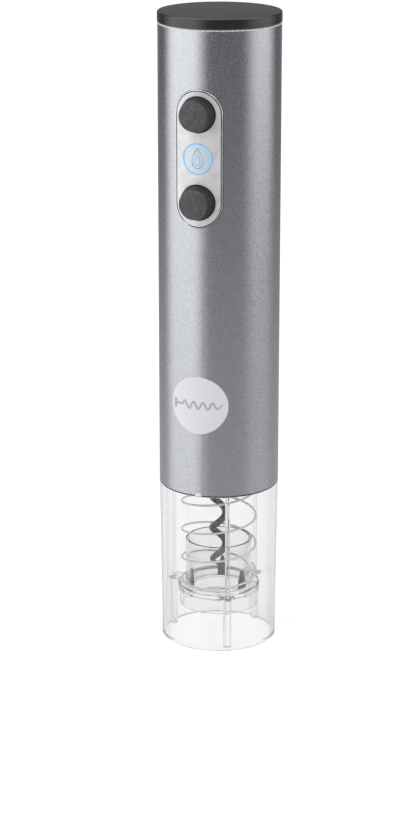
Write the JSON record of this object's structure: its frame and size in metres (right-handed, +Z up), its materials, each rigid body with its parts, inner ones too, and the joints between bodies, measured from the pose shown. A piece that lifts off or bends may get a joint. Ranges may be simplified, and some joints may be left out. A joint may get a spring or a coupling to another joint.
{
  "type": "electric wine opener",
  "caption": "Cordless tube-shaped electric wine opener with a clear cork sleeve, motor-driven worm, push buttons and a lift-off battery cap.",
  "frame": {"origin": "centre of the clear sleeve's bottom rim, where the opener stands", "axes": "+Z up along the opener's axis, -Y towards the buttons"},
  "size_m": [0.0506, 0.0567, 0.267],
  "materials": {
    "clear_plastic": "clear polished polycarbonate",
    "white_plastic": "satin white",
    "spring_steel": "dark spring steel",
    "claw_steel": "blackened steel",
    "worm_steel": "dark low-friction coating",
    "satin_case": "satin metallic grey with fine sparkle",
    "bezel_chrome": "polished",
    "plate_steel": "fine brushed",
    "blue_lens": "translucent, lit from behind",
    "print_white": "printed",
    "button_rubber": "matte black",
    "cap_black": "satin black",
    "inner_black": "moulded",
    "gear_nylon": "natural nylon",
    "bronze": "sintered bronze",
    "copper": "lacquered copper winding",
    "steel": "bright steel",
    "magnet": "ferrite",
    "board_green": "solder mask",
    "led_blue": "clear blue",
    "cell_wrap": "plain printed sleeve",
    "wire_red": "insulation",
    "seal_rubber": "matte"
  },
  "bodies": {
    "sleeve": {"clear_sleeve": "clear_plastic", "sleeve_key": "white_plastic", "spring_seat": "white_plastic", "grip_spring": "spring_steel"},
    "grip": {"grip_ring": "clear_plastic", "cork_guide": "clear_plastic", "cork_claws": "claw_steel"},
    "handle": {"body_shell": "satin_case", "plate_bezel": "bezel_chrome", "button_plate": "plate_steel", "light_lens": "blue_lens", "badge": "print_white", "base_bulkhead": "inner_black", "chassis_left": "inner_black", "chassis_right": "inner_black", "chassis_screws": "steel", "gearbox_ring": "gear_nylon", "gearbox_cover": "inner_black", "output_bush": "bronze", "motor_plate": "inner_black", "motor_screws": "steel", "motor_can": "steel", "motor_magnets": "magnet", "motor_endcap": "inner_black", "motor_wires": "wire_red", "circuit_board": "board_green", "tact_switches": "magnet", "status_led": "led_blue", "battery_tray": "inner_black", "cells_up": "cell_wrap", "cells_down": "cell_wrap", "lower_contacts": "steel"},
    "worm_drive": {"worm": "worm_steel", "worm_hub": "steel", "carrier_2": "steel"},
    "stage_one": {"carrier_1": "steel", "sun_gear_2": "steel"},
    "rotor": {"motor_shaft": "steel", "armature": "copper", "sun_gear_1": "steel"},
    "cap": {"top_cap": "cap_black", "cap_seal": "seal_rubber", "cap_contacts": "steel"},
    "key_up": {"button_up": "button_rubber"},
    "key_down": {"button_down": "button_rubber"},
    "planet_1a_body": {"planet_1a": "gear_nylon"},
    "planet_1b_body": {"planet_1b": "gear_nylon"},
    "planet_1c_body": {"planet_1c": "gear_nylon"},
    "planet_2a_body": {"planet_2a": "gear_nylon"},
    "planet_2b_body": {"planet_2b": "gear_nylon"},
    "planet_2c_body": {"planet_2c": "gear_nylon"}
  },
  "joints": [
    {"name": "handle_lift", "type": "slide", "parent": "sleeve", "child": "handle", "axis": [0, 0, 1], "range_m": [0, 0.09]},
    {"name": "grip_slide", "type": "slide", "parent": "sleeve", "child": "grip", "axis": [0, 0, 1], "range_m": [0, 0.022], "stiffness_N_per_m": 120, "springref_m": -0.02, "deforming": ["grip_spring"]},
    {"name": "worm_spin", "type": "hinge", "parent": "handle", "child": "worm_drive", "pos_m": [0, 0, 0.085], "axis": [0, 0, 1], "continuous": true},
    {"name": "stage_one_spin", "type": "hinge", "parent": "handle", "child": "stage_one", "pos_m": [0, 0, 0.0975], "axis": [0, 0, 1], "continuous": true},
    {"name": "rotor_spin", "type": "hinge", "parent": "handle", "child": "rotor", "pos_m": [0, 0, 0.13], "axis": [0, 0, 1], "continuous": true},
    {"name": "cap_lift", "type": "slide", "parent": "handle", "child": "cap", "axis": [0, 0, 1], "range_m": [0, 0.03]},
    {"name": "button_up_press", "type": "slide", "parent": "handle", "child": "key_up", "axis": [0, 1, 0], "range_m": [0, 0.0012], "stiffness_N_per_m": 600, "springref_m": -0.0008},
    {"name": "button_down_press", "type": "slide", "parent": "handle", "child": "key_down", "axis": [0, 1, 0], "range_m": [0, 0.0012], "stiffness_N_per_m": 600, "springref_m": -0.0008},
    {"name": "planet_2a_spin", "type": "hinge", "parent": "worm_drive", "child": "planet_2a_body", "pos_m": [0.00825, 0, 0.0928], "axis": [0, 0, 1], "continuous": true},
    {"name": "planet_2b_spin", "type": "hinge", "parent": "worm_drive", "child": "planet_2b_body", "pos_m": [-0.00413, 0.00714, 0.0928], "axis": [0, 0, 1], "continuous": true},
    {"name": "planet_2c_spin", "type": "hinge", "parent": "worm_drive", "child": "planet_2c_body", "pos_m": [-0.00413, -0.00714, 0.0928], "axis": [0, 0, 1], "continuous": true},
    {"name": "planet_1a_spin", "type": "hinge", "parent": "stage_one", "child": "planet_1a_body", "pos_m": [0.00825, 0, 0.1018], "axis": [0, 0, 1], "continuous": true},
    {"name": "planet_1b_spin", "type": "hinge", "parent": "stage_one", "child": "planet_1b_body", "pos_m": [-0.00413, 0.00714, 0.1018], "axis": [0, 0, 1], "continuous": true},
    {"name": "planet_1c_spin", "type": "hinge", "parent": "stage_one", "child": "planet_1c_body", "pos_m": [-0.00413, -0.00714, 0.1018], "axis": [0, 0, 1], "continuous": true}
  ],
  "couplings": [
    {"joint": "stage_one_spin", "follows": "rotor_spin", "ratio": 0.18182},
    {"joint": "worm_spin", "follows": "rotor_spin", "ratio": 0.033058},
    {"joint": "planet_2a_spin", "follows": "rotor_spin", "ratio": -0.085006},
    {"joint": "planet_2b_spin", "follows": "rotor_spin", "ratio": -0.085006},
    {"joint": "planet_2c_spin", "follows": "rotor_spin", "ratio": -0.085006},
    {"joint": "planet_1a_spin", "follows": "rotor_spin", "ratio": -0.46753},
    {"joint": "planet_1b_spin", "follows": "rotor_spin", "ratio": -0.46753},
    {"joint": "planet_1c_spin", "follows": "rotor_spin", "ratio": -0.46753}
  ]
}
